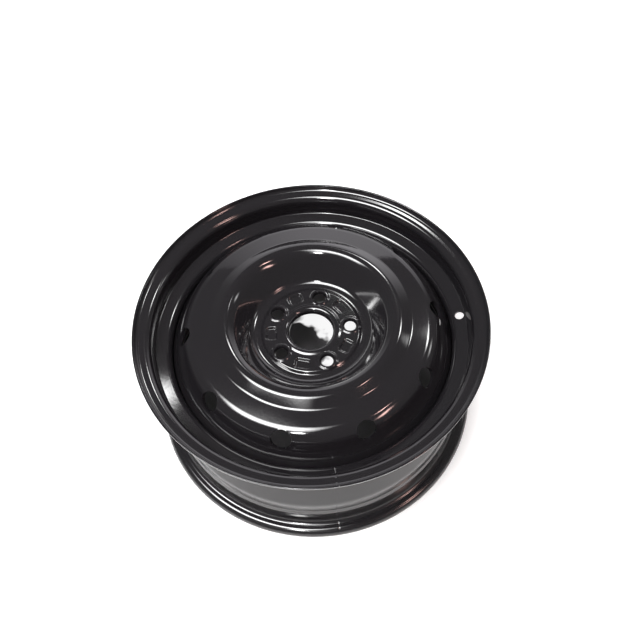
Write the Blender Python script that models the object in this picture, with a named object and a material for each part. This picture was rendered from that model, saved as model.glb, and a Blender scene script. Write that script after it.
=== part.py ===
"""Car wheel: a sixteen inch pressed-steel wheel, lying on its inboard flange with the street side up.

Twelve pieces. The rim is one roll-formed hoop of constant sheet: two curled flanges, bead seats with
safety humps, a drop-centre well and the valve hole. The disc is one pressing: a centre bore with a drawn
collar, five raised bolt bosses with conical nut seats, pockets between them, a deep bowl, a rounded crest
that flares down to the crown, ten round vent holes through its shoulder, and a skirt that ends in a
cylinder inside the well. Ten fillet weld beads, one below each web between two vents, join the two.
The wheel's axle is the Z axis. Radii and heights are in millimetres until the meshes are scaled.
"""

import math

import bmesh
import bpy
from mathutils import Matrix, Vector

MM = 0.001

# Clearance between pieces that are welded or pressed together
CLEARANCE = 0.3

# Round pieces share one facet grid, so that nested circles keep their clearance
FACETS = 52
SHOWN_FILLET_STEP = math.radians(36.5)
REAR_FILLET_STEP = math.radians(80)
HOLE_FACETS = 14

# Rim, measured on the tyre side of its sheet; the two flanges and bead seats are mirror images
RIM_WIDTH = 165.1
SEAT_RADIUS = 202.8
FLANGE_HEIGHT = 17.3
RIM_SHEET = 2.6
CURL_RADIUS = 8.7
LIP_LENGTH = 1.0
HEEL_FILLET = 6.5
SEAT_WIDTH = 21.0
SEAT_TAPER = math.radians(5)
HUMP_HEIGHT = 1.3
HUMP_RISE = 5.5

# Azimuth that a bolt hole, a vent and the valve hole share
PATTERN_AZIMUTH = math.radians(3.2)

# Drop-centre well: a shelf falls into it from the outboard hump, and a ramp leads up to the inboard ledge
WELL_DEPTH = 20.5
SHELF_DROP = 5.5
WELL_WIDTH = 48.6
LEDGE_WIDTH = 20.3
RIM_FILLET = 6.5
RAMP_FILLET = 14.0

# Valve hole, square to the shelf
VALVE_HOLE_RADIUS = 5.75

# Disc, measured on its street side from the bore outwards; depths are below the outboard lip's edge
DISC_SHEET = 3.9
BORE_RADIUS = 28.05
COLLAR_LENGTH = 8.5
COLLAR_ROUND = 5.5
COLLAR_WIDTH = 7.45
COLLAR_RISE = 1.2
COLLAR_RUN = 3.0
PLATEAU_DEPTH = 31.5
PLATEAU_MARGIN = 11.0
GROOVE_DEPTH = 2.9
GROOVE_RUN = 3.5
BOWL_FILLET = 11.0
BOWL_MOUTH_DEPTH = 2.3
BOWL_MOUTH_ROUND = 31.0
CREST_RISE = 3.8
CREST_ROUND = 16.0
FLARE_FOOT_DEPTH = 5.3
FLARE_FOOT_ROUND = 8.5
CROWN_TILT = math.radians(7)
SHOULDER_ROUND = 22.0
SKIRT_DEPTH = 50.0
SKIRT_ROUND = 12.0
SKIRT_SEAT = 20.0

# Shares of the disc's run between its pad and its skirt; the rest is the slope of the skirt
BOWL_FLOOR_SHARE = 0.0913838
BOWL_WALL_SHARE = 0.1888599
CREST_SHARE = 0.1044386
FLARE_SHARE = 0.1462141
CROWN_SHARE = 0.2654482

# Bolt circle with its bosses, and the pockets between them
BOLT_COUNT = 5
BOLT_CIRCLE = 50.0
BOLT_HOLE_RADIUS = 7.4
BOLT_SEAT_DEPTH = 3.0
BOLT_SEAT_ANGLE = math.radians(30)
BOSS_RADIUS = 13.5
BOSS_HEIGHT = 1.1
POCKET_INWARD = 6.5
POCKET_OUTWARD = 8.0
POCKET_WIDTH = 20.0
POCKET_ROUND = 4.0
EMBOSS_DRAFT = 1.6
EMBOSS_ROOT = 0.6

# Vent holes, punched square to the skirt below the crown's shoulder
VENT_COUNT = 10
VENT_RADIUS = 12.2
VENT_OUTWARD = 3.0
VENT_DROP = 9.0
VENT_TILT = math.radians(52)

# Weld beads, in the corner between the disc's skirt edge and the rim's well
BEAD_LEG = 4.2
BEAD_SPAN = math.radians(15)
BEAD_STEPS = 3
BEAD_END_SHARE = 0.3
BEAD_FULLNESS = 0.62

# Heights above the floor and radii that follow from the sizes above
LOWER_FACE = LIP_LENGTH + CURL_RADIUS
UPPER_FACE = LOWER_FACE + RIM_WIDTH
TOP = UPPER_FACE + CURL_RADIUS + LIP_LENGTH
LIP_RADIUS = SEAT_RADIUS + FLANGE_HEIGHT
SEAT_TOE = SEAT_RADIUS - SEAT_WIDTH * math.tan(SEAT_TAPER)
LEDGE_RADIUS = SEAT_TOE - 2 * HUMP_RISE * math.tan(SEAT_TAPER)
WELL_RADIUS = SEAT_RADIUS - WELL_DEPTH
WELL_BORE = WELL_RADIUS - RIM_SHEET
SHELF_TOP = UPPER_FACE - SEAT_WIDTH - HUMP_RISE
SKIRT_RADIUS = WELL_BORE - CLEARANCE
SKIRT_END_DEPTH = SKIRT_DEPTH + SKIRT_SEAT
COLLAR_CREST = BORE_RADIUS + COLLAR_WIDTH
PLATEAU_RADIUS = BOLT_CIRCLE + PLATEAU_MARGIN
BOWL_FLOOR_DEPTH = PLATEAU_DEPTH + GROOVE_DEPTH
BOWL_FLOOR_START = PLATEAU_RADIUS + GROOVE_RUN
DISC_RUN = SKIRT_RADIUS - BOWL_FLOOR_START
BOWL_FLOOR_END = BOWL_FLOOR_START + DISC_RUN * BOWL_FLOOR_SHARE
BOWL_MOUTH_RADIUS = BOWL_FLOOR_END + DISC_RUN * BOWL_WALL_SHARE
CREST_RADIUS = BOWL_MOUTH_RADIUS + DISC_RUN * CREST_SHARE
FLARE_FOOT_RADIUS = CREST_RADIUS + DISC_RUN * FLARE_SHARE
SHOULDER_RADIUS = FLARE_FOOT_RADIUS + DISC_RUN * CROWN_SHARE
SHOULDER_DEPTH = FLARE_FOOT_DEPTH + (SHOULDER_RADIUS - FLARE_FOOT_RADIUS) * math.tan(CROWN_TILT)

BLACK_PAINT = (0.012, 0.011, 0.012, 1.0)
WELD_PAINT = (0.016, 0.015, 0.015, 1.0)


def clear_scene():
    for old in list(bpy.data.objects):
        bpy.data.objects.remove(old, do_unlink=True)


def paint(name, colour, roughness):
    material = bpy.data.materials.new(name)
    material.use_nodes = True
    shader = material.node_tree.nodes["Principled BSDF"]
    shader.inputs["Base Color"].default_value = colour
    shader.inputs["Roughness"].default_value = roughness
    shader.inputs["Metallic"].default_value = 0.0
    return material


def height(depth):
    """Height above the floor of a depth below the outboard lip's edge."""
    return TOP - depth


def left_normal(start, end):
    along = (end - start).normalized()
    return Vector((-along.y, along.x))


def turn(before, corner, after):
    """Signed angle by which the path turns at a corner, positive to the left."""
    first = (corner - before).normalized()
    second = (after - corner).normalized()
    return math.atan2(first.x * second.y - first.y * second.x, first.dot(second))


def offset_path(corners, distance):
    """The path moved to its left by a distance, with every fillet concentric to the old one."""
    points = [Vector(corner[:2]) for corner in corners]
    moved = []
    for index, point in enumerate(points):
        radius = corners[index][2]
        if index == 0:
            moved.append((*(point + left_normal(point, points[1]) * distance), 0.0))
            continue
        if index == len(points) - 1:
            moved.append((*(point + left_normal(points[-2], point) * distance), 0.0))
            continue
        before = left_normal(points[index - 1], point)
        after = left_normal(point, points[index + 1])
        shift = (before + after) * (distance / (1.0 + before.dot(after)))
        side = math.copysign(1.0, turn(points[index - 1], point, points[index + 1]))
        moved.append((*(point + shift), max(radius - side * distance, 0.0) if radius else 0.0))
    return moved


def fillet_reaches(corners):
    """How far each fillet runs along its two sides; two that share a side share its length."""
    points = [Vector(corner[:2]) for corner in corners]
    wanted = [0.0] * len(points)
    for index in range(1, len(points) - 1):
        angle = abs(turn(*points[index - 1:index + 2]))
        wanted[index] = corners[index][2] * math.tan(angle / 2)
    reaches = list(wanted)
    for index in range(len(points) - 1):
        side = (points[index + 1] - points[index]).length
        together = wanted[index] + wanted[index + 1]
        if together > side:
            for end in (index, index + 1):
                reaches[end] = min(reaches[end], wanted[end] * side / together)
    return reaches


def rounded(corners, fillet_step):
    """Points of a path (radius, height, fillet) with each fillet as an arc."""
    points = [Vector(corner[:2]) for corner in corners]
    reaches = fillet_reaches(corners)
    path = [points[0]]
    for index in range(1, len(points) - 1):
        before, corner, after = points[index - 1:index + 2]
        angle = turn(before, corner, after)
        steps = round(abs(angle) / fillet_step)
        if not reaches[index] or not steps:
            path.append(corner)
            continue
        start = corner + (before - corner).normalized() * reaches[index]
        radius = reaches[index] / math.tan(abs(angle) / 2)
        centre = start + left_normal(before, corner) * math.copysign(radius, angle)
        spoke = start - centre
        for step in range(steps + 1):
            path.append(centre + Matrix.Rotation(angle * step / steps, 2) @ spoke)
    path.append(points[-1])
    return path


def sheet_section(corners, thickness):
    """Closed section of a sheet that lies to the left of its path."""
    rear = offset_path(corners, thickness)
    return rounded(corners, SHOWN_FILLET_STEP) + rounded(rear, REAR_FILLET_STEP)[::-1]


def lathe(name, section, material):
    """Solid of revolution of a closed section about the axle."""
    mesh = bmesh.new()
    ring = [mesh.verts.new((point.x * MM, 0.0, point.y * MM)) for point in section]
    edges = [mesh.edges.new((ring[i - 1], ring[i])) for i in range(len(ring))]
    bmesh.ops.spin(mesh, geom=ring + edges, cent=(0, 0, 0), axis=(0, 0, 1), angle=math.tau,
                   steps=FACETS, use_merge=True)
    bmesh.ops.recalc_face_normals(mesh, faces=mesh.faces)
    return add_object(name, mesh, material)


def add_object(name, mesh, material):
    data = bpy.data.meshes.new(name)
    mesh.to_mesh(data)
    mesh.free()
    if material:
        data.materials.append(material)
    thing = bpy.data.objects.new(name, data)
    bpy.context.scene.collection.objects.link(thing)
    return thing


def soften(thing, sharp_angle=math.radians(35)):
    thing.data.shade_smooth()
    thing.data.set_sharp_from_angle(angle=sharp_angle)


def cutter(name, mesh):
    """A helper solid that only shapes other pieces."""
    thing = add_object(name, mesh, None)
    thing.hide_render = True
    thing.display_type = "WIRE"
    return thing


def shape_with(thing, operation, tool):
    modifier = thing.modifiers.new(f"{operation.lower()}_{tool.name}", "BOOLEAN")
    modifier.operation = operation
    modifier.object = tool
    modifier.solver = "EXACT"


def loft(mesh, rings):
    """Closed solid through rings of equal point count, the first and last capped."""
    loops = [[mesh.verts.new(point) for point in ring] for ring in rings]
    for lower, upper in zip(loops, loops[1:]):
        for i in range(len(lower)):
            mesh.faces.new((lower[i - 1], lower[i], upper[i], upper[i - 1]))
    mesh.faces.new(loops[0][::-1])
    mesh.faces.new(loops[-1])


def circle(radius, level, place, count=HOLE_FACETS):
    return [place @ Vector((radius * math.cos(math.tau * i / count) * MM,
                            radius * math.sin(math.tau * i / count) * MM, level * MM))
            for i in range(count)]


def flange_path(side):
    """Tyre side of one flange from its lip to the crest of its hump; side is 1 outboard, -1 inboard."""
    middle = (UPPER_FACE + LOWER_FACE) / 2

    def inwards(distance):
        return middle + side * (RIM_WIDTH / 2 - distance)

    return [(LIP_RADIUS, inwards(-CURL_RADIUS - LIP_LENGTH), 0.0),
            (LIP_RADIUS, inwards(0.0), CURL_RADIUS),
            (SEAT_RADIUS, inwards(0.0), HEEL_FILLET),
            (SEAT_TOE, inwards(SEAT_WIDTH), 0.0),
            (SEAT_TOE + HUMP_HEIGHT, inwards(SEAT_WIDTH + HUMP_RISE), 0.0)]


def build_rim():
    outboard = flange_path(1)
    inboard = flange_path(-1)
    outboard[-1] = (*outboard[-1][:2], RIM_FILLET)
    shelf_foot = SHELF_TOP - SHELF_DROP
    ramp_foot = shelf_foot - WELL_WIDTH
    hump_foot = LOWER_FACE + SEAT_WIDTH + 2 * HUMP_RISE
    well = [(WELL_RADIUS, shelf_foot, RIM_FILLET),
            (WELL_RADIUS, ramp_foot, RAMP_FILLET),
            (LEDGE_RADIUS, hump_foot + LEDGE_WIDTH, RAMP_FILLET),
            (LEDGE_RADIUS, hump_foot, 0.0)]
    path = outboard + well + inboard[::-1]
    rim = lathe("rim", sheet_section(path, -RIM_SHEET), paint("rim_gloss_black", BLACK_PAINT, 0.16))
    shelf_crest = Vector(outboard[-1][:2])
    shelf = shelf_crest - Vector((WELL_RADIUS, shelf_foot))
    middle = shelf_crest - shelf / 2
    place = (Matrix.Rotation(PATTERN_AZIMUTH, 4, "Z")
             @ Matrix.Translation((middle.x * MM, 0.0, middle.y * MM))
             @ Matrix.Rotation(-math.atan2(shelf.y, shelf.x), 4, "Y"))
    mesh = bmesh.new()
    reach = RIM_SHEET * 2
    loft(mesh, [circle(VALVE_HOLE_RADIUS, level, place) for level in (-reach, reach)])
    shape_with(rim, "DIFFERENCE", cutter("valve_hole_tool", mesh))
    soften(rim)
    return rim


def disc_path():
    """Street side of the disc from the bore's collar to the edge of its skirt."""
    collar_depth = PLATEAU_DEPTH - COLLAR_RISE
    corners = [(BORE_RADIUS, collar_depth + COLLAR_LENGTH, 0.0),
               (BORE_RADIUS, collar_depth, COLLAR_ROUND),
               (COLLAR_CREST, collar_depth, 0.0),
               (COLLAR_CREST + COLLAR_RUN, PLATEAU_DEPTH, 0.0),
               (PLATEAU_RADIUS, PLATEAU_DEPTH, 0.0),
               (BOWL_FLOOR_START, BOWL_FLOOR_DEPTH, 0.0),
               (BOWL_FLOOR_END, BOWL_FLOOR_DEPTH, BOWL_FILLET),
               (BOWL_MOUTH_RADIUS, BOWL_MOUTH_DEPTH, BOWL_MOUTH_ROUND),
               (CREST_RADIUS, -CREST_RISE, CREST_ROUND),
               (FLARE_FOOT_RADIUS, FLARE_FOOT_DEPTH, FLARE_FOOT_ROUND),
               (SHOULDER_RADIUS, SHOULDER_DEPTH, SHOULDER_ROUND),
               (SKIRT_RADIUS, SKIRT_DEPTH, SKIRT_ROUND),
               (SKIRT_RADIUS, SKIRT_END_DEPTH, 0.0)]
    return [(radius, height(depth), fillet) for radius, depth, fillet in corners]


def around(count, first):
    return [Matrix.Rotation(first + math.tau * i / count, 4, "Z") for i in range(count)]


def boss_solids(base_depth, top_depth, shrink):
    """Five low frustums on the bolt circle between two depths."""
    mesh = bmesh.new()
    for spoke in around(BOLT_COUNT, PATTERN_AZIMUTH):
        place = spoke @ Matrix.Translation((BOLT_CIRCLE * MM, 0.0, 0.0))
        loft(mesh, [circle(BOSS_RADIUS - shrink, height(base_depth), place),
                    circle(BOSS_RADIUS - shrink - EMBOSS_DRAFT, height(top_depth), place)])
    return mesh


def pocket_outline(inset, level, place):
    """Rounded four-sided outline between two bolt bosses, shrunk by an inset."""
    inner = BOLT_CIRCLE - POCKET_INWARD + inset
    outer = BOLT_CIRCLE + POCKET_OUTWARD - inset
    half = POCKET_WIDTH / 2 - inset
    round_off = POCKET_ROUND - inset / 2
    points = []
    for radius, side, first in ((outer, 1, 0), (inner, 1, 90), (inner, -1, 180), (outer, -1, 270)):
        inward = 1 if radius == inner else -1
        centre = Vector((radius + inward * round_off, side * (half - round_off)))
        for step in range(3):
            angle = math.radians(first + 45 * step)
            points.append(place @ Vector(((centre.x + round_off * math.cos(angle)) * MM,
                                          (centre.y + round_off * math.sin(angle)) * MM, level * MM)))
    return points


def pocket_solids(mouth_depth, floor_depth, grow):
    """Five tapered plugs between the bolts from a mouth depth down to a floor depth."""
    mesh = bmesh.new()
    for spoke in around(BOLT_COUNT, PATTERN_AZIMUTH + math.pi / BOLT_COUNT):
        loft(mesh, [pocket_outline(EMBOSS_DRAFT - grow, height(floor_depth), spoke),
                    pocket_outline(-grow, height(mouth_depth), spoke)])
    return mesh


def bolt_hole_solids():
    mesh = bmesh.new()
    top = PLATEAU_DEPTH - BOSS_HEIGHT
    flare = BOLT_HOLE_RADIUS + (BOLT_SEAT_DEPTH + EMBOSS_ROOT) * math.tan(BOLT_SEAT_ANGLE)
    for spoke in around(BOLT_COUNT, PATTERN_AZIMUTH):
        place = spoke @ Matrix.Translation((BOLT_CIRCLE * MM, 0.0, 0.0))
        loft(mesh, [circle(BOLT_HOLE_RADIUS, height(top + DISC_SHEET * 2), place),
                    circle(BOLT_HOLE_RADIUS, height(top + BOLT_SEAT_DEPTH), place),
                    circle(flare, height(top - EMBOSS_ROOT), place)])
    return mesh


def vent_hole_solids():
    mesh = bmesh.new()
    for spoke in around(VENT_COUNT, PATTERN_AZIMUTH):
        place = (spoke @ Matrix.Translation(((SHOULDER_RADIUS + VENT_OUTWARD) * MM, 0.0,
                                             height(SHOULDER_DEPTH + VENT_DROP) * MM))
                 @ Matrix.Rotation(VENT_TILT, 4, "Y"))
        loft(mesh, [circle(VENT_RADIUS, level, place) for level in (-VENT_RADIUS, VENT_RADIUS)])
    return mesh


def build_disc():
    disc = lathe("disc", sheet_section(disc_path(), -DISC_SHEET), paint("disc_gloss_black", BLACK_PAINT, 0.14))
    front = PLATEAU_DEPTH
    rear = PLATEAU_DEPTH + DISC_SHEET
    wall = EMBOSS_DRAFT / 2
    bosses = boss_solids(front + EMBOSS_ROOT, front - BOSS_HEIGHT, 0.0)
    boss_hollows = boss_solids(rear + EMBOSS_ROOT, rear - BOSS_HEIGHT, wall)
    pocket_backs = pocket_solids(rear - EMBOSS_ROOT, rear + GROOVE_DEPTH, wall)
    pockets = pocket_solids(front - EMBOSS_ROOT, front + GROOVE_DEPTH, 0.0)
    shape_with(disc, "UNION", cutter("boss_tool", bosses))
    shape_with(disc, "DIFFERENCE", cutter("boss_rear_tool", boss_hollows))
    shape_with(disc, "UNION", cutter("pocket_rear_tool", pocket_backs))
    shape_with(disc, "DIFFERENCE", cutter("pocket_tool", pockets))
    shape_with(disc, "DIFFERENCE", cutter("bolt_hole_tool", bolt_hole_solids()))
    shape_with(disc, "DIFFERENCE", cutter("vent_hole_tool", vent_hole_solids()))
    soften(disc)
    return disc


def facet_radius(radius, azimuth):
    """Radius at an azimuth of the regular polygon that a circle becomes on the facet grid."""
    pitch = math.tau / FACETS
    within = azimuth % pitch - pitch / 2
    return radius * math.cos(pitch / 2) / math.cos(within)


def build_weld_beads():
    """One bead under each web, its section a fillet that thins to the bead's two ends."""
    material = paint("weld_painted_black", WELD_PAINT, 0.3)
    top = height(SKIRT_END_DEPTH) - CLEARANCE
    beads = []
    for index in range(VENT_COUNT):
        middle = PATTERN_AZIMUTH + math.tau * (index + 0.5) / VENT_COUNT
        mesh = bmesh.new()
        rings = []
        for step in range(BEAD_STEPS + 1):
            share = 2 * step / BEAD_STEPS - 1
            azimuth = middle + BEAD_SPAN / 2 * share
            leg = BEAD_LEG * (BEAD_END_SHARE + (1 - BEAD_END_SHARE) * math.sqrt(1 - share ** 4))
            belly = leg * BEAD_FULLNESS
            wall = facet_radius(WELL_BORE - CLEARANCE, azimuth)
            section = [(wall, top), (wall, top - leg), (wall - belly, top - belly), (wall - leg, top)]
            rings.append([Vector((radius * math.cos(azimuth), radius * math.sin(azimuth), level)) * MM
                          for radius, level in section])
        loft(mesh, rings)
        bmesh.ops.recalc_face_normals(mesh, faces=mesh.faces)
        bead = add_object(f"weld_bead_{index + 1:02d}", mesh, material)
        soften(bead, math.radians(50))
        beads.append(bead)
    return beads


def main():
    clear_scene()
    build_rim()
    build_disc()
    build_weld_beads()


main()
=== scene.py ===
"""A pressed-steel car wheel in gloss black paint, lying on its inboard flange with the street side up.

The rolled rim, the pressed disc and the ten weld beads between them are modelled here in full, over the
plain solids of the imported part. The axle is the Z axis, and the floor is at height zero.
"""

import math

import bmesh
import bpy
from mathutils import Matrix, Vector


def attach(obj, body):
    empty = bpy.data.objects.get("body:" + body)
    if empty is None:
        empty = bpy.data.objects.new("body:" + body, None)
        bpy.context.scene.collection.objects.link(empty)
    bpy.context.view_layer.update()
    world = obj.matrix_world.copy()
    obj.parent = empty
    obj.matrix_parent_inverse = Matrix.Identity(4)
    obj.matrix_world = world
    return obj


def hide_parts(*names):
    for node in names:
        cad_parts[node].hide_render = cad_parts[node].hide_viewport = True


MM = 0.001
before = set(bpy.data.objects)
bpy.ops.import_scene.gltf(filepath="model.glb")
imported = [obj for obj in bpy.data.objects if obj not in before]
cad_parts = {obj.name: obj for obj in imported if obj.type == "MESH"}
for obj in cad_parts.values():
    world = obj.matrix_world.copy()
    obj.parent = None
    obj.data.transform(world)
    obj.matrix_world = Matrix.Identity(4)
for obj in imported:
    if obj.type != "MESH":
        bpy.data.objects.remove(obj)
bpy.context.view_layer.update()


# Rim: one hoop of 2.6 mm steel strip, butt-welded into a ring, roll-formed to two curled flanges, two bead
# seats with humps and a drop-centre well, then punched for the valve. The disc is welded inside its well.
RIM_WIDTH = 165.1
SEAT_RADIUS = 202.8
FLANGE_HEIGHT = 17.3
RIM_SHEET = 2.6
CURL_RADIUS = 8.7
LIP_LENGTH = 1.0
LIP_EDGE_ROUND = 0.7
HEEL_FILLET = 6.5
SEAT_WIDTH = 21.0
SEAT_TAPER = math.radians(5)
HUMP_HEIGHT = 1.3
HUMP_RISE = 5.5
HUMP_ROUND = 9.0
WELL_DEPTH = 20.5
SHELF_DROP = 5.5
WELL_WIDTH = 48.6
LEDGE_WIDTH = 20.3
RIM_FILLET = 6.5
RAMP_FILLET = 14.0
RIM_STEPS = 256
RIM_ARC_STEP = math.radians(11)
VALVE_HOLE_RADIUS = 5.75
VALVE_PUNCH_REACH = 6.0
VALVE_HOLE_STEPS = 48
PATTERN_AZIMUTH = math.radians(3.2)
PAINT_COLOUR = (0.0128, 0.0115, 0.0134, 1.0)
PAINT_IOR = 1.5
COAT_ROUGHNESS = 0.03
PEEL_SCALE = 260.0
HAZE_SCALE = 14.0
DUST_SCALE = 420.0
DUST_COLOUR = (0.16, 0.15, 0.14, 1.0)
GRAIN_SCALE = 900.0
TYRE_SIDE_TOP = 150.0
TYRE_SIDE_FADE = 6.0
TYRE_SIDE_DULLNESS = 0.22
SEAM_AZIMUTH = math.radians(-84.3)
SEAM_WAVER = 1.6
SEAM_WAVER_SCALE = 90.0
SEAM_HALF_WIDTH = 1.8
SEAM_DEPTH = 0.4
SEAM_STRENGTH = 0.6
SEAM_START_RADIUS = 100.0
LOWER_FACE = LIP_LENGTH + CURL_RADIUS
UPPER_FACE = LOWER_FACE + RIM_WIDTH
TOP = UPPER_FACE + CURL_RADIUS + LIP_LENGTH
SEAT_TOE = SEAT_RADIUS - SEAT_WIDTH * math.tan(SEAT_TAPER)
LEDGE_RADIUS = SEAT_TOE - 2 * HUMP_RISE * math.tan(SEAT_TAPER)
WELL_RADIUS = SEAT_RADIUS - WELL_DEPTH
WELL_BORE = WELL_RADIUS - RIM_SHEET


def corner_turn(before, corner, after):
    """Angle by which a profile turns at a corner."""
    first = (corner - before).normalized()
    second = (after - corner).normalized()
    return abs(math.atan2(first.x * second.y - first.y * second.x, first.dot(second)))


def fillet_reaches(profile):
    """How far each fillet runs along its two sides; two that share a side share nearly all of its length."""
    usable_share = 0.995
    points = [Vector(corner[:2]) for corner in profile]
    wanted = [0.0] * len(points)
    for index in range(1, len(points) - 1):
        wanted[index] = profile[index][2] * math.tan(corner_turn(*points[index - 1:index + 2]) / 2)
    reaches = list(wanted)
    for index in range(len(points) - 1):
        side = (points[index + 1] - points[index]).length * usable_share
        together = wanted[index] + wanted[index + 1]
        if together > side:
            for end in (index, index + 1):
                reaches[end] = min(reaches[end], wanted[end] * side / together)
    return reaches


def ring_edges(mesh, radius, level):
    """The edges of a turned mesh that run around at a radius and a height in millimetres."""
    near = 0.002 * MM
    return [edge for edge in mesh.edges
            if all(abs(vert.co.z - level * MM) < near and abs(vert.co.xy.length - radius * MM) < near
                   for vert in edge.verts)]


def turned_sheet(profile, steps, arc):
    """One face of a sheet turned about the axle, its corners (radius, height, fillet) rolled to arcs."""
    mesh = bmesh.new()
    corners = [mesh.verts.new((radius * MM, 0.0, level * MM)) for radius, level, _ in profile]
    line = [mesh.edges.new(pair) for pair in zip(corners, corners[1:])]
    bmesh.ops.spin(mesh, geom=corners + line, cent=(0, 0, 0), axis=(0, 0, 1), angle=math.tau,
                   steps=steps, use_merge=True)
    reaches = fillet_reaches(profile)
    points = [Vector(corner[:2]) for corner in profile]
    for index in range(1, len(profile) - 1):
        if reaches[index] > 0.0:
            angle = corner_turn(*points[index - 1:index + 2])
            bmesh.ops.bevel(mesh, geom=ring_edges(mesh, *profile[index][:2]), offset=reaches[index] * MM,
                            offset_type="OFFSET", segments=max(2, math.ceil(angle / arc)), profile=0.5,
                            affect="EDGES", material=-1)
    return mesh


def sheet_edge_rounding(mesh, radius, level, amount):
    """Rounds the sheared edge of a sheet that runs around at a radius and a height."""
    bmesh.ops.bevel(mesh, geom=ring_edges(mesh, radius, level), offset=amount * MM, offset_type="OFFSET",
                    segments=3, profile=0.5, affect="EDGES", material=-1)


def piece_from(name, mesh, material, sharp=35):
    """Object of a finished bmesh, smooth but for its sharp edges."""
    data = bpy.data.meshes.new(name)
    mesh.to_mesh(data)
    mesh.free()
    data.materials.append(material)
    data.shade_smooth()
    data.set_sharp_from_angle(angle=math.radians(sharp))
    thing = bpy.data.objects.new(name, data)
    bpy.context.scene.collection.objects.link(thing)
    return thing


def punch(piece, punches, sharp=35):
    """Cuts solid punches out of a piece and keeps the finished mesh, smooth but for its sharp edges."""
    material = piece.data.materials[0]
    tools = []
    for number, mesh in enumerate(punches):
        tool = piece_from(f"{piece.name}_punch_{number}", mesh, material)
        modifier = piece.modifiers.new(tool.name, "BOOLEAN")
        modifier.operation = "DIFFERENCE"
        modifier.solver = "EXACT"
        modifier.object = tool
        tools.append(tool)
    bpy.context.view_layer.update()
    finished = bpy.data.meshes.new_from_object(piece.evaluated_get(bpy.context.evaluated_depsgraph_get()))
    piece.modifiers.clear()
    piece.data = finished
    finished.set_sharp_from_angle(angle=math.radians(sharp))
    for tool in tools:
        bpy.data.objects.remove(tool, do_unlink=True)


def round_punch(place, radii, segments):
    """Solid punch through (radius, level) rings about its own Z axis."""
    mesh = bmesh.new()
    first, last = radii[0], radii[-1]
    bmesh.ops.create_cone(mesh, cap_ends=True, segments=segments, radius1=first[0] * MM,
                          radius2=last[0] * MM, depth=(last[1] - first[1]) * MM)
    bmesh.ops.translate(mesh, verts=mesh.verts, vec=(0, 0, (first[1] + last[1]) / 2 * MM))
    for radius, level in radii[1:-1]:
        cut = bmesh.ops.bisect_plane(mesh, geom=mesh.verts[:] + mesh.edges[:] + mesh.faces[:], dist=1e-7,
                                     plane_co=(0, 0, level * MM), plane_no=(0, 0, 1))["geom_cut"]
        for vert in cut:
            if isinstance(vert, bmesh.types.BMVert):
                vert.co.xy *= radius * MM / vert.co.xy.length
    bmesh.ops.transform(mesh, matrix=place, verts=mesh.verts)
    return mesh


def math_node(tree, operation, *values):
    """Output of a math node that works on sockets and numbers."""
    node = tree.nodes.new("ShaderNodeMath")
    node.operation = operation
    for slot, value in zip(node.inputs, values):
        if isinstance(value, bpy.types.NodeSocket):
            tree.links.new(value, slot)
        else:
            slot.default_value = value
    return node.outputs["Value"]


def vector_node(tree, operation, vector, other=None):
    """Output of a vector math node on one socket and, where it is given, a second socket or a vector."""
    node = tree.nodes.new("ShaderNodeVectorMath")
    node.operation = operation
    tree.links.new(vector, node.inputs[0])
    if isinstance(other, bpy.types.NodeSocket):
        tree.links.new(other, node.inputs[1])
    elif other is not None:
        node.inputs[1].default_value = other
    return node.outputs["Vector" if operation == "MULTIPLY" else "Value"]


def range_node(tree, value, start, end, low=0.0, high=1.0, ease="LINEAR"):
    """Output that goes from low to high while a value goes from start to end, and stays there beyond."""
    node = tree.nodes.new("ShaderNodeMapRange")
    node.interpolation_type = ease
    for name, number in (("From Min", start), ("From Max", end), ("To Min", low), ("To Max", high)):
        node.inputs[name].default_value = number
    tree.links.new(value, node.inputs["Value"])
    return node.outputs["Result"]


def noise_node(tree, place, scale, detail=2.0):
    """Output of a noise texture over a place."""
    node = tree.nodes.new("ShaderNodeTexNoise")
    node.inputs["Scale"].default_value = scale
    node.inputs["Detail"].default_value = detail
    tree.links.new(place, node.inputs["Vector"])
    return node.outputs["Fac"]


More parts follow.
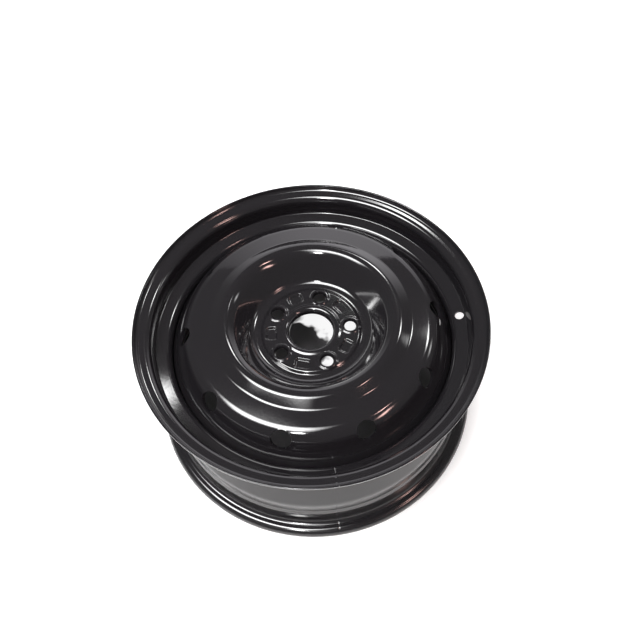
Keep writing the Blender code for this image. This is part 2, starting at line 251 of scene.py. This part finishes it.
def painted_steel():
    """Peel of the black paint, its fine dust, the haze that handling leaves and the duller tyre side.

    The tyre side is the face that looks away from the axle, below the outboard bead seat. All of it is in
    object coordinates, which are metres about the axle.
    """
    group = bpy.data.node_groups.new("black_paint_surface", "ShaderNodeTree")
    group.interface.new_socket("Roughness", in_out="OUTPUT", socket_type="NodeSocketFloat")
    group.interface.new_socket("Coat Roughness", in_out="OUTPUT", socket_type="NodeSocketFloat")
    group.interface.new_socket("Color", in_out="OUTPUT", socket_type="NodeSocketColor")
    group.interface.new_socket("Normal", in_out="OUTPUT", socket_type="NodeSocketVector")
    nodes, links = group.nodes, group.links
    output = nodes.new("NodeGroupOutput")
    coordinates = nodes.new("ShaderNodeTexCoord")
    place = coordinates.outputs["Object"]
    bump = nodes.new("ShaderNodeBump")
    bump.inputs["Strength"].default_value = 0.05
    bump.inputs["Distance"].default_value = 0.0003
    links.new(noise_node(group, place, PEEL_SCALE, 1.0), bump.inputs["Height"])
    haze = noise_node(group, place, HAZE_SCALE, 6.0)
    gloss = range_node(group, haze, 0.35, 0.75, 0.07, 0.15)

    # The tyre side lies about 0.2 m from the axle, so this turns its places into outward unit vectors.
    per_radius = 5.0
    outward = vector_node(group, "MULTIPLY", place, (per_radius, per_radius, 0.0))
    facing = vector_node(group, "DOT_PRODUCT", outward, coordinates.outputs["Normal"])
    height = nodes.new("ShaderNodeSeparateXYZ")
    links.new(place, height.inputs["Vector"])
    below = range_node(group, height.outputs["Z"], TYRE_SIDE_TOP * MM, (TYRE_SIDE_TOP - TYRE_SIDE_FADE) * MM)
    dull = math_node(group, "MULTIPLY", range_node(group, facing, 0.3, 0.6, high=TYRE_SIDE_DULLNESS), below)
    grainy = math_node(group, "MULTIPLY", dull, noise_node(group, place, GRAIN_SCALE))
    links.new(math_node(group, "ADD", COAT_ROUGHNESS, grainy), output.inputs["Coat Roughness"])
    links.new(math_node(group, "ADD", gloss, dull), output.inputs["Roughness"])

    dust = nodes.new("ShaderNodeTexVoronoi")
    dust.inputs["Scale"].default_value = DUST_SCALE
    links.new(place, dust.inputs["Vector"])
    speck = range_node(group, dust.outputs["Distance"], 0.10, 0.04)
    thin = range_node(group, haze, 0.52, 0.72, high=0.35)
    colour = nodes.new("ShaderNodeMix")
    colour.data_type = "RGBA"
    colour.inputs["A"].default_value = PAINT_COLOUR
    colour.inputs["B"].default_value = DUST_COLOUR
    links.new(math_node(group, "MULTIPLY", speck, thin), colour.inputs["Factor"])
    links.new(colour.outputs["Result"], output.inputs["Color"])
    links.new(bump.outputs["Normal"], output.inputs["Normal"])
    return group


def butt_weld():
    """Planed butt weld across the hoop: a shallow dressed groove along one radius, in object coordinates."""
    group = bpy.data.node_groups.new("butt_weld_seam", "ShaderNodeTree")
    group.interface.new_socket("Normal", in_out="INPUT", socket_type="NodeSocketVector")
    group.interface.new_socket("Normal", in_out="OUTPUT", socket_type="NodeSocketVector")
    nodes, links = group.nodes, group.links
    source = nodes.new("NodeGroupInput")
    output = nodes.new("NodeGroupOutput")
    place = nodes.new("ShaderNodeTexCoord").outputs["Object"]
    along = (math.cos(SEAM_AZIMUTH), math.sin(SEAM_AZIMUTH), 0.0)
    across = (-math.sin(SEAM_AZIMUTH), math.cos(SEAM_AZIMUTH), 0.0)
    waver = noise_node(group, place, SEAM_WAVER_SCALE)
    from_line = math_node(group, "MULTIPLY_ADD", waver, SEAM_WAVER * MM,
                          vector_node(group, "DOT_PRODUCT", place, across))
    distance = math_node(group, "ABSOLUTE", from_line)
    this_side = math_node(group, "GREATER_THAN", vector_node(group, "DOT_PRODUCT", place, along),
                          SEAM_START_RADIUS * MM)
    bump = nodes.new("ShaderNodeBump")
    bump.inputs["Distance"].default_value = SEAM_DEPTH * MM
    groove = range_node(group, distance, 0.0, SEAM_HALF_WIDTH * MM, ease="SMOOTHSTEP")
    links.new(groove, bump.inputs["Height"])
    links.new(math_node(group, "MULTIPLY", this_side, SEAM_STRENGTH), bump.inputs["Strength"])
    links.new(source.outputs["Normal"], bump.inputs["Normal"])
    links.new(bump.outputs["Normal"], output.inputs["Normal"])
    return group


def paint(name, surface, seam=None):
    """Gloss black enamel with the surface effects of a node group, over a weld seam where one is given."""
    material = bpy.data.materials.new(name)
    material.use_nodes = True
    nodes, links = material.node_tree.nodes, material.node_tree.links
    shader = nodes["Principled BSDF"]
    shader.inputs["IOR"].default_value = PAINT_IOR
    shader.inputs["Coat Weight"].default_value = 1.0
    shader.inputs["Coat IOR"].default_value = PAINT_IOR
    effects = nodes.new("ShaderNodeGroup")
    effects.node_tree = surface
    links.new(effects.outputs["Color"], shader.inputs["Base Color"])
    links.new(effects.outputs["Roughness"], shader.inputs["Roughness"])
    links.new(effects.outputs["Coat Roughness"], shader.inputs["Coat Roughness"])
    normal = effects.outputs["Normal"]
    if seam:
        weld = nodes.new("ShaderNodeGroup")
        weld.node_tree = seam
        links.new(normal, weld.inputs["Normal"])
        normal = weld.outputs["Normal"]
    links.new(normal, shader.inputs["Normal"])
    links.new(normal, shader.inputs["Coat Normal"])
    return material


def flange_line(side):
    """Tyre side of one flange from its lip to the crest of its hump; side is 1 outboard, -1 inboard."""
    middle = (UPPER_FACE + LOWER_FACE) / 2

    def inwards(distance):
        return middle + side * (RIM_WIDTH / 2 - distance)

    return [(SEAT_RADIUS + FLANGE_HEIGHT, inwards(-CURL_RADIUS - LIP_LENGTH), 0.0),
            (SEAT_RADIUS + FLANGE_HEIGHT, inwards(0.0), CURL_RADIUS),
            (SEAT_RADIUS, inwards(0.0), HEEL_FILLET),
            (SEAT_TOE, inwards(SEAT_WIDTH), HUMP_ROUND),
            (SEAT_TOE + HUMP_HEIGHT, inwards(SEAT_WIDTH + HUMP_RISE), HUMP_ROUND)]


surface_effects = painted_steel()
shelf_crest = (SEAT_TOE + HUMP_HEIGHT, UPPER_FACE - SEAT_WIDTH - HUMP_RISE, RIM_FILLET)
shelf_foot = (WELL_RADIUS, shelf_crest[1] - SHELF_DROP, RIM_FILLET)
hump_foot = LOWER_FACE + SEAT_WIDTH + 2 * HUMP_RISE
rim_line = (flange_line(1)[:-1]
            + [shelf_crest, shelf_foot,
               (WELL_RADIUS, shelf_foot[1] - WELL_WIDTH, RAMP_FILLET),
               (LEDGE_RADIUS, hump_foot + LEDGE_WIDTH, RAMP_FILLET),
               (LEDGE_RADIUS, hump_foot, HUMP_ROUND)]
            + flange_line(-1)[::-1])
hoop = turned_sheet(rim_line, RIM_STEPS, RIM_ARC_STEP)
bmesh.ops.recalc_face_normals(hoop, faces=hoop.faces)
if sum(face.normal.xy.dot(face.calc_center_median().xy) for face in hoop.faces) < 0:
    bmesh.ops.reverse_faces(hoop, faces=hoop.faces)
bmesh.ops.solidify(hoop, geom=hoop.faces[:], thickness=RIM_SHEET * MM)
for lip_level in (0.0, TOP):
    for lip_radius in (SEAT_RADIUS + FLANGE_HEIGHT, SEAT_RADIUS + FLANGE_HEIGHT - RIM_SHEET):
        sheet_edge_rounding(hoop, lip_radius, lip_level, LIP_EDGE_ROUND)
rim = piece_from("rim_hoop", hoop, paint("rim_black_enamel", surface_effects, butt_weld()))
shelf_middle = Vector(((shelf_crest[0] + shelf_foot[0]) / 2, 0.0, (shelf_crest[1] + shelf_foot[1]) / 2))
shelf_tilt = math.atan2(shelf_crest[1] - shelf_foot[1], shelf_crest[0] - shelf_foot[0])
valve_place = (Matrix.Rotation(PATTERN_AZIMUTH, 4, "Z") @ Matrix.Translation(shelf_middle * MM)
               @ Matrix.Rotation(-shelf_tilt, 4, "Y"))
valve_rings = [(VALVE_HOLE_RADIUS, -VALVE_PUNCH_REACH), (VALVE_HOLE_RADIUS, VALVE_PUNCH_REACH)]
punch(rim, [round_punch(valve_place, valve_rings, VALVE_HOLE_STEPS)])
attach(rim, "root")
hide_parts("rim")


# Disc: one pressing of 3.9 mm steel plate. It carries the centre bore in a drawn collar, five bolt seats on
# raised bosses with pockets between them, the bowl, the crest and the crown with ten vent holes; its skirt
# is pressed into the rim's well.
DISC_SHEET = 3.9
DISC_STEPS = 450
DISC_ARC_STEP = math.radians(10)
DISC_SHARP_ANGLE = 55
SKIRT_CLEARANCE = 0.3
BORE_RADIUS = 28.05
COLLAR_LENGTH = 8.5
COLLAR_ROUND = 5.5
COLLAR_WIDTH = 7.45
COLLAR_RISE = 1.2
COLLAR_RUN = 3.0
PLATEAU_DEPTH = 31.5
PLATEAU_MARGIN = 11.0
PLATEAU_FILLET = 3.0
PAD_CUTS = 28
PAD_SHORTEST_EDGE = 8.0
GROOVE_DEPTH = 2.9
GROOVE_RUN = 3.5
BOWL_FLOOR_WIDTH = 10.5
BOWL_FILLET = 11.0
BOWL_WALL_RUN = 21.7
BOWL_MOUTH_DEPTH = 2.3
BOWL_MOUTH_ROUND = 31.0
CREST_RUN = 12.0
CREST_RISE = 3.8
CREST_ROUND = 16.0
FLARE_RUN = 16.8
FLARE_FOOT_DEPTH = 5.3
FLARE_FOOT_ROUND = 8.5
CROWN_RUN = 30.5
CROWN_TILT = math.radians(7)
SHOULDER_ROUND = 22.0
SKIRT_DEPTH = 50.0
SKIRT_ROUND = 12.0
SKIRT_SEAT = 20.0
BOLT_COUNT = 5
BOLT_CIRCLE = 50.0
BOLT_HOLE_RADIUS = 7.4
BOLT_SEAT_DEPTH = 3.0
BOLT_SEAT_ANGLE = math.radians(30)
BOLT_PUNCH_REACH = 9.0
BOLT_PUNCH_HEAD = 1.0
BOLT_HOLE_STEPS = 40
BOSS_RADIUS = 13.5
BOSS_HEIGHT = 1.1
POCKET_INWARD = 6.5
POCKET_OUTWARD = 8.0
POCKET_WIDTH = 20.0
POCKET_ROUND = 4.0
EMBOSS_DRAFT = 2.4
VENT_COUNT = 10
VENT_RADIUS = 12.2
VENT_OUTWARD = 3.0
VENT_DROP = 9.0
VENT_TILT = math.radians(52)
VENT_PUNCH_REACH = 11.0
VENT_STEPS = 64
SKIRT_RADIUS = WELL_BORE - SKIRT_CLEARANCE
SKIRT_END_DEPTH = SKIRT_DEPTH + SKIRT_SEAT
COLLAR_CREST = BORE_RADIUS + COLLAR_WIDTH
PLATEAU_RADIUS = BOLT_CIRCLE + PLATEAU_MARGIN
BOWL_FLOOR_DEPTH = PLATEAU_DEPTH + GROOVE_DEPTH
BOWL_FLOOR_START = PLATEAU_RADIUS + GROOVE_RUN
BOWL_FLOOR_END = BOWL_FLOOR_START + BOWL_FLOOR_WIDTH
BOWL_MOUTH_RADIUS = BOWL_FLOOR_END + BOWL_WALL_RUN
CREST_RADIUS = BOWL_MOUTH_RADIUS + CREST_RUN
FLARE_FOOT_RADIUS = CREST_RADIUS + FLARE_RUN
SHOULDER_RADIUS = FLARE_FOOT_RADIUS + CROWN_RUN
SHOULDER_DEPTH = FLARE_FOOT_DEPTH + CROWN_RUN * math.tan(CROWN_TILT)


def eased(share):
    """Smooth step from 0 to 1, for pressed forms that have no sharp foot."""
    share = min(max(share, 0.0), 1.0)
    return share * share * (3 - 2 * share)


def bolt_frame(point, first):
    """Radius and sideways distance of a point from the nearest of five spokes, in millimetres."""
    pitch = math.tau / BOLT_COUNT
    azimuth = (math.atan2(point.y, point.x) - first + pitch / 2) % pitch - pitch / 2
    radius = point.xy.length / MM
    return radius * math.cos(azimuth), radius * math.sin(azimuth)


def boss_lift(point):
    """Height pressed out of the pad by the round boss about a bolt hole."""
    along, aside = bolt_frame(point, PATTERN_AZIMUTH)
    return BOSS_HEIGHT * eased((BOSS_RADIUS - math.hypot(along - BOLT_CIRCLE, aside)) / EMBOSS_DRAFT)


def pocket_sink(point):
    """Depth pressed into the pad by the rounded pocket between two bolts."""
    along, aside = bolt_frame(point, PATTERN_AZIMUTH + math.pi / BOLT_COUNT)
    centre = BOLT_CIRCLE + (POCKET_OUTWARD - POCKET_INWARD) / 2
    half_length = (POCKET_OUTWARD + POCKET_INWARD) / 2
    over_x = abs(along - centre) - half_length + POCKET_ROUND
    over_y = abs(aside) - POCKET_WIDTH / 2 + POCKET_ROUND
    outside = math.hypot(max(over_x, 0), max(over_y, 0)) + min(max(over_x, over_y), 0) - POCKET_ROUND
    return GROOVE_DEPTH * eased(-outside / EMBOSS_DRAFT)


collar_depth = PLATEAU_DEPTH - COLLAR_RISE
disc_line = [(radius, TOP - depth, fillet) for radius, depth, fillet in (
    (BORE_RADIUS, collar_depth + COLLAR_LENGTH, 0.0),
    (BORE_RADIUS, collar_depth, COLLAR_ROUND),
    (COLLAR_CREST, collar_depth, PLATEAU_FILLET),
    (COLLAR_CREST + COLLAR_RUN, PLATEAU_DEPTH, PLATEAU_FILLET),
    (PLATEAU_RADIUS, PLATEAU_DEPTH, PLATEAU_FILLET),
    (BOWL_FLOOR_START, BOWL_FLOOR_DEPTH, PLATEAU_FILLET),
    (BOWL_FLOOR_END, BOWL_FLOOR_DEPTH, BOWL_FILLET),
    (BOWL_MOUTH_RADIUS, BOWL_MOUTH_DEPTH, BOWL_MOUTH_ROUND),
    (CREST_RADIUS, -CREST_RISE, CREST_ROUND),
    (FLARE_FOOT_RADIUS, FLARE_FOOT_DEPTH, FLARE_FOOT_ROUND),
    (SHOULDER_RADIUS, SHOULDER_DEPTH, SHOULDER_ROUND),
    (SKIRT_RADIUS, SKIRT_DEPTH, SKIRT_ROUND),
    (SKIRT_RADIUS, SKIRT_END_DEPTH, 0.0))]
pressing = turned_sheet(disc_line, DISC_STEPS, DISC_ARC_STEP)
pad_edges = [edge for edge in pressing.edges
             if abs(edge.verts[0].co.xy.length - edge.verts[1].co.xy.length) > PAD_SHORTEST_EDGE * MM
             and max(vert.co.xy.length for vert in edge.verts) < (PLATEAU_RADIUS + 1) * MM]
bmesh.ops.subdivide_edges(pressing, edges=pad_edges, cuts=PAD_CUTS, use_grid_fill=True)
bmesh.ops.recalc_face_normals(pressing, faces=pressing.faces)
if sum(face.normal.z for face in pressing.faces) < 0:
    bmesh.ops.reverse_faces(pressing, faces=pressing.faces)
for vert in pressing.verts:
    if COLLAR_CREST * MM < vert.co.xy.length < (PLATEAU_RADIUS + GROOVE_RUN) * MM:
        vert.co.z += (boss_lift(vert.co) - pocket_sink(vert.co)) * MM
bmesh.ops.solidify(pressing, geom=pressing.faces[:], thickness=DISC_SHEET * MM)
disc = piece_from("disc_pressing", pressing, paint("disc_black_enamel", surface_effects))
bolt_seat = PLATEAU_DEPTH - BOSS_HEIGHT
seat_flare = BOLT_HOLE_RADIUS + BOLT_SEAT_DEPTH * math.tan(BOLT_SEAT_ANGLE)
bolt_rings = [(BOLT_HOLE_RADIUS, -BOLT_PUNCH_REACH), (BOLT_HOLE_RADIUS, -BOLT_SEAT_DEPTH),
              (seat_flare, 0.0), (seat_flare, BOLT_PUNCH_HEAD)]
bolt_punches = []
for bolt in range(BOLT_COUNT):
    bolt_place = (Matrix.Rotation(PATTERN_AZIMUTH + math.tau * bolt / BOLT_COUNT, 4, "Z")
                  @ Matrix.Translation((BOLT_CIRCLE * MM, 0, (TOP - bolt_seat) * MM)))
    bolt_punches.append(round_punch(bolt_place, bolt_rings, BOLT_HOLE_STEPS))
vent_rings = [(VENT_RADIUS, -VENT_PUNCH_REACH), (VENT_RADIUS, VENT_PUNCH_REACH)]
vent_punches = []
for vent in range(VENT_COUNT):
    vent_place = (Matrix.Rotation(PATTERN_AZIMUTH + math.tau * vent / VENT_COUNT, 4, "Z")
                  @ Matrix.Translation(((SHOULDER_RADIUS + VENT_OUTWARD) * MM, 0,
                                        (TOP - SHOULDER_DEPTH - VENT_DROP) * MM))
                  @ Matrix.Rotation(VENT_TILT, 4, "Y"))
    vent_punches.append(round_punch(vent_place, vent_rings, VENT_STEPS))
punch(disc, bolt_punches + vent_punches, DISC_SHARP_ANGLE)
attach(disc, "root")
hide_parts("disc")


# Weld beads: ten fillet welds of about 47 mm, one under each web between two vents, that join the edge of
# the disc's skirt to the rim's well. They are laid by a robot, rippled, and painted over with the wheel.
# The section is in legs of the bead, from the corner of the two sheets along the skirt's edge and the well.
BEAD_LEG = 4.2
BEAD_SPAN = math.radians(15)
BEAD_STEPS = 60
BEAD_RIPPLE = 0.16
BEAD_RIPPLE_COUNT = 22
BEAD_END_SIZE = 0.3
BEAD_END_SQUARENESS = 4
BEAD_CLEARANCE = 0.05
BEAD_SECTION = ((0, 0), (0, -1), (-0.35, -0.90), (-0.64, -0.66), (-0.88, -0.36), (-1, 0))
BEAD_SHARP_ANGLE = 60
bead_paint = paint("weld_black_enamel", surface_effects)
bead_wall = WELL_BORE - BEAD_CLEARANCE
bead_top = TOP - SKIRT_END_DEPTH - BEAD_CLEARANCE
for bead_number in range(VENT_COUNT):
    bead = bmesh.new()
    outline = [bead.verts.new(((bead_wall + x * BEAD_LEG) * MM, 0, (bead_top + z * BEAD_LEG) * MM))
               for x, z in BEAD_SECTION]
    bead.faces.new(outline)
    first_azimuth = PATTERN_AZIMUTH + math.tau * (bead_number + 0.5) / VENT_COUNT - BEAD_SPAN / 2
    bmesh.ops.rotate(bead, verts=bead.verts, cent=(0, 0, 0), matrix=Matrix.Rotation(first_azimuth, 3, "Z"))
    bmesh.ops.spin(bead, geom=bead.verts[:] + bead.edges[:] + bead.faces[:], cent=(0, 0, 0), axis=(0, 0, 1),
                   angle=BEAD_SPAN, steps=BEAD_STEPS)
    for vert in bead.verts:
        azimuth = math.atan2(vert.co.y, vert.co.x)
        share = ((azimuth - first_azimuth + math.pi) % math.tau - math.pi) / BEAD_SPAN
        ripple = 1 - BEAD_RIPPLE * abs(math.sin(share * math.pi * BEAD_RIPPLE_COUNT))
        fullness = math.sqrt(max(0.0, 1 - abs(2 * share - 1) ** BEAD_END_SQUARENESS))
        size = ripple * (BEAD_END_SIZE + (1 - BEAD_END_SIZE) * fullness)
        radius = bead_wall * MM - (bead_wall * MM - vert.co.xy.length) * size
        vert.co.xy *= radius / vert.co.xy.length
        vert.co.z = bead_top * MM - (bead_top * MM - vert.co.z) * size
    bmesh.ops.recalc_face_normals(bead, faces=bead.faces)
    weld = piece_from(f"weld_{bead_number + 1:02d}", bead, bead_paint, BEAD_SHARP_ANGLE)
    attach(weld, "root")
    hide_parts(f"weld_bead_{bead_number + 1:02d}")


# Floor: a plain white sheet under the wheel, which keeps the wheel's own soft shadow. Where the wheel covers
# it, its colour is darkened to a painted shade, and a glowing patch of painted light shows through the bore
# and two bolt holes.
FLOOR_REACH = 8.0
FLOOR_GLOW_START = 0.19
FLOOR_GLOW_END = 0.25
FLOOR_GLOW = 0.65
UNDER_GLOW = 0.011
GLOSSY_GLOW_SHARE = 0.5
# Colour of the floor where the wheel covers it: a painted shade, darker than the open floor.
UNDER_WHEEL_PAINTED_SHADE = (0.15, 0.14, 0.15, 1.0)
OPEN_FLOOR = (0.8, 0.8, 0.8, 1.0)
PAINTED_SHADE_START = 0.17
PAINTED_SHADE_END = 0.21
# A glowing patch of painted light on the floor under the bore. It stands for the lamp light that falls
# through the bore.
PAINTED_LIGHT_PATCH_CENTRE = (0.022, 0.082, 0.0)
PAINTED_LIGHT_PATCH_RADIUS = 0.060
PAINTED_LIGHT_PATCH_GLOW = 0.9
PAINTED_PATCH_EDGE_WAVER = 0.012
PAINTED_PATCH_EDGE_SCALE = 34.0
PAINTED_LIGHT_PATCH_EDGE_SHARES = (1.10, 0.85)
# A round blot of painted shade, cut out of the painted light patch.
PAINTED_SHADE_BLOT_CENTRE = (-0.030, 0.062, 0.0)
PAINTED_SHADE_BLOT_RADIUS = 0.049
PAINTED_SHADE_BLOT_EDGE_SHARES = (0.92, 1.08)
floor_mesh = bmesh.new()
bmesh.ops.create_grid(floor_mesh, x_segments=1, y_segments=1, size=FLOOR_REACH)
floor_paint = bpy.data.materials.new("floor_white")
floor_paint.use_nodes = True
floor_tree = floor_paint.node_tree
floor_shader = floor_tree.nodes["Principled BSDF"]
floor_shader.inputs["Roughness"].default_value = 0.9
floor_shader.inputs["Specular IOR Level"].default_value = 0.2
floor_place = floor_tree.nodes.new("ShaderNodeTexCoord").outputs["Object"]
floor_distance = vector_node(floor_tree, "LENGTH", floor_place)
# The floor's colour goes from the painted shade under the wheel to plain white further out.
floor_colour_with_painted_shade = floor_tree.nodes.new("ShaderNodeMix")
floor_colour_with_painted_shade.data_type = "RGBA"
floor_colour_with_painted_shade.inputs["A"].default_value = UNDER_WHEEL_PAINTED_SHADE
floor_colour_with_painted_shade.inputs["B"].default_value = OPEN_FLOOR
floor_tree.links.new(range_node(floor_tree, floor_distance, PAINTED_SHADE_START, PAINTED_SHADE_END),
                     floor_colour_with_painted_shade.inputs["Factor"])
floor_tree.links.new(floor_colour_with_painted_shade.outputs["Result"], floor_shader.inputs["Base Color"])
# Shape of the painted light patch less the painted shade blot, with a wavering edge.
painted_patch_edge_shift = range_node(floor_tree, noise_node(floor_tree, floor_place, PAINTED_PATCH_EDGE_SCALE), 0.3, 0.7,
                         -PAINTED_PATCH_EDGE_WAVER, PAINTED_PATCH_EDGE_WAVER)
painted_patch_shares = []
for centre, radius, edge_shares in ((PAINTED_LIGHT_PATCH_CENTRE, PAINTED_LIGHT_PATCH_RADIUS, PAINTED_LIGHT_PATCH_EDGE_SHARES),
                                    (PAINTED_SHADE_BLOT_CENTRE, PAINTED_SHADE_BLOT_RADIUS, PAINTED_SHADE_BLOT_EDGE_SHARES)):
    patch_distance = vector_node(floor_tree, "DISTANCE", floor_place, centre)
    patch_edge = math_node(floor_tree, "ADD", patch_distance, painted_patch_edge_shift)
    start, end = [radius * share for share in edge_shares]
    painted_patch_shares.append(range_node(floor_tree, patch_edge, start, end, ease="SMOOTHSTEP"))
painted_light_patch_shape = math_node(floor_tree, "MULTIPLY", *painted_patch_shares)
floor_fade = range_node(floor_tree, floor_distance, FLOOR_GLOW_START, FLOOR_GLOW_END, UNDER_GLOW, FLOOR_GLOW,
                        "SMOOTHSTEP")
# The floor's glow with the painted light patch added to it.
floor_glow_and_painted_light = math_node(floor_tree, "MULTIPLY_ADD", painted_light_patch_shape, PAINTED_LIGHT_PATCH_GLOW, floor_fade)
floor_path = floor_tree.nodes.new("ShaderNodeLightPath")
floor_seen = math_node(floor_tree, "MULTIPLY_ADD", floor_path.outputs["Is Glossy Ray"], GLOSSY_GLOW_SHARE,
                       floor_path.outputs["Is Camera Ray"])
floor_shader.inputs["Emission Color"].default_value = (1, 1, 1, 1)
floor_tree.links.new(math_node(floor_tree, "MULTIPLY", floor_seen, floor_glow_and_painted_light),
                     floor_shader.inputs["Emission Strength"])
floor = piece_from("floor_sheet", floor_mesh, floor_paint)


# World: a dark room, shown white behind the wheel.
ROOM_LEVEL = 0.13
world = bpy.data.worlds.new("studio_room")
bpy.context.scene.world = world
world.use_nodes = True
room = world.node_tree.nodes["Background"]
room.inputs["Color"].default_value = (1, 1, 1, 1)
room_path = world.node_tree.nodes.new("ShaderNodeLightPath")
room_level = range_node(world.node_tree, room_path.outputs["Is Camera Ray"], 0.0, 1.0, ROOM_LEVEL, 1.0)
world.node_tree.links.new(room_level, room.inputs["Strength"])


# Lamps: soft boxes whose light fades towards their rims. A large one hangs above and to the left, a strong
# one is far off on the near side, four stand to the right, two of them reddish, and a strip and a lit white
# wall are behind.
RED_LIGHT = (1.0, 0.62, 0.56)
COOL_LIGHT = (0.98, 0.95, 1.0)


def fading_face(lamp, fade):
    """Lamp shader whose emission falls off over a share of the face at each edge."""
    lamp.use_nodes = True
    tree = lamp.node_tree
    face = tree.nodes.new("ShaderNodeNewGeometry")
    axes = tree.nodes.new("ShaderNodeSeparateXYZ")
    tree.links.new(face.outputs["Parametric"], axes.inputs["Vector"])
    edges = []
    for axis, share in zip("XY", fade):
        inward = math_node(tree, "PINGPONG", axes.outputs[axis], 0.5)
        edges.append(range_node(tree, inward, 0.0, share, ease="SMOOTHSTEP"))
    tree.links.new(math_node(tree, "MULTIPLY", *edges), tree.nodes["Emission"].inputs["Strength"])


def soft_box(name, place, aim, size, radiance, colour=(1, 1, 1), turn=0.0, fade=(0.5, 0.5)):
    """Flat lamp at a place in metres, facing a point, with a given radiance at the middle of its face."""
    lamp = bpy.data.lights.new(name, "AREA")
    lamp.shape = "RECTANGLE"
    lamp.size, lamp.size_y = size
    lamp.energy = radiance * math.pi * size[0] * size[1]
    lamp.color = colour
    fading_face(lamp, fade)
    thing = bpy.data.objects.new(name, lamp)
    facing = (Vector(aim) - Vector(place)).to_track_quat("-Z", "Y").to_matrix().to_4x4()
    thing.matrix_world = Matrix.Translation(place) @ facing @ Matrix.Rotation(turn, 4, "Z")
    thing.visible_camera = False
    bpy.context.scene.collection.objects.link(thing)


soft_box("box_above", (-0.72, -0.37, 2.18), (-0.72, -0.37, 0.0), (1.87, 1.22), 17.0,
         turn=math.radians(-24.6), fade=(0.28, 0.38))
soft_box("box_near", (-0.835, -2.66, 4.28), (-0.055, 0.061, 0.16), (0.75, 0.66), 120.0)
soft_box("box_right_back", (1.50, 1.06, 2.18), (0.0, 0.0, 0.1), (0.62, 0.46), 27.0)
soft_box("box_right", (1.82, 0.48, 1.28), (0.0, 0.0, 0.1), (0.45, 0.45), 5.0)
soft_box("box_right_front", (1.45, -1.12, 1.70), (0.0, 0.0, 0.1), (0.40, 0.80), 16.0, RED_LIGHT,
         turn=math.radians(-50), fade=(0.5, 0.4))
soft_box("box_right_high", (1.08, -0.53, 2.18), (0.06, -0.1, 0.18), (0.50, 0.16), 34.0, RED_LIGHT)
soft_box("strip_back", (0.40, 1.70, 2.18), (0.40, 1.70, 0.0), (0.80, 0.36), 22.0, turn=math.radians(35))
soft_box("wall_behind", (0.34, 1.5, 0.60), (0.34, 0.0, 0.60), (3.1, 1.4), 0.95, COOL_LIGHT,
         fade=(0.45, 0.03))


# Camera: the photograph's view, from the wheel's near side at 57 degrees above the floor.
CAMERA_PITCH = math.radians(57.25)
CAMERA_ROLL = math.radians(-3.418)
CAMERA_DISTANCE = 0.8439
CAMERA_SHIFT = Vector((0.0119, -0.0073, TOP * MM))
CAMERA_LENS = 38.64
camera = bpy.data.objects.new("camera", bpy.data.cameras.new("camera"))
camera.data.lens = CAMERA_LENS
camera.data.sensor_width = 36.0
away = Vector((0.0, -math.cos(CAMERA_PITCH), math.sin(CAMERA_PITCH)))
level_right = Vector((1.0, 0.0, 0.0))
level_up = away.cross(level_right)
right = math.cos(CAMERA_ROLL) * level_right + math.sin(CAMERA_ROLL) * level_up
up = math.cos(CAMERA_ROLL) * level_up - math.sin(CAMERA_ROLL) * level_right
camera_place = away * CAMERA_DISTANCE + CAMERA_SHIFT
camera_turn = Matrix((right, up, away)).transposed().to_4x4()
camera.matrix_world = Matrix.Translation(camera_place) @ camera_turn
bpy.context.scene.collection.objects.link(camera)
bpy.context.scene.camera = camera
bpy.context.scene.view_settings.view_transform = "Standard"
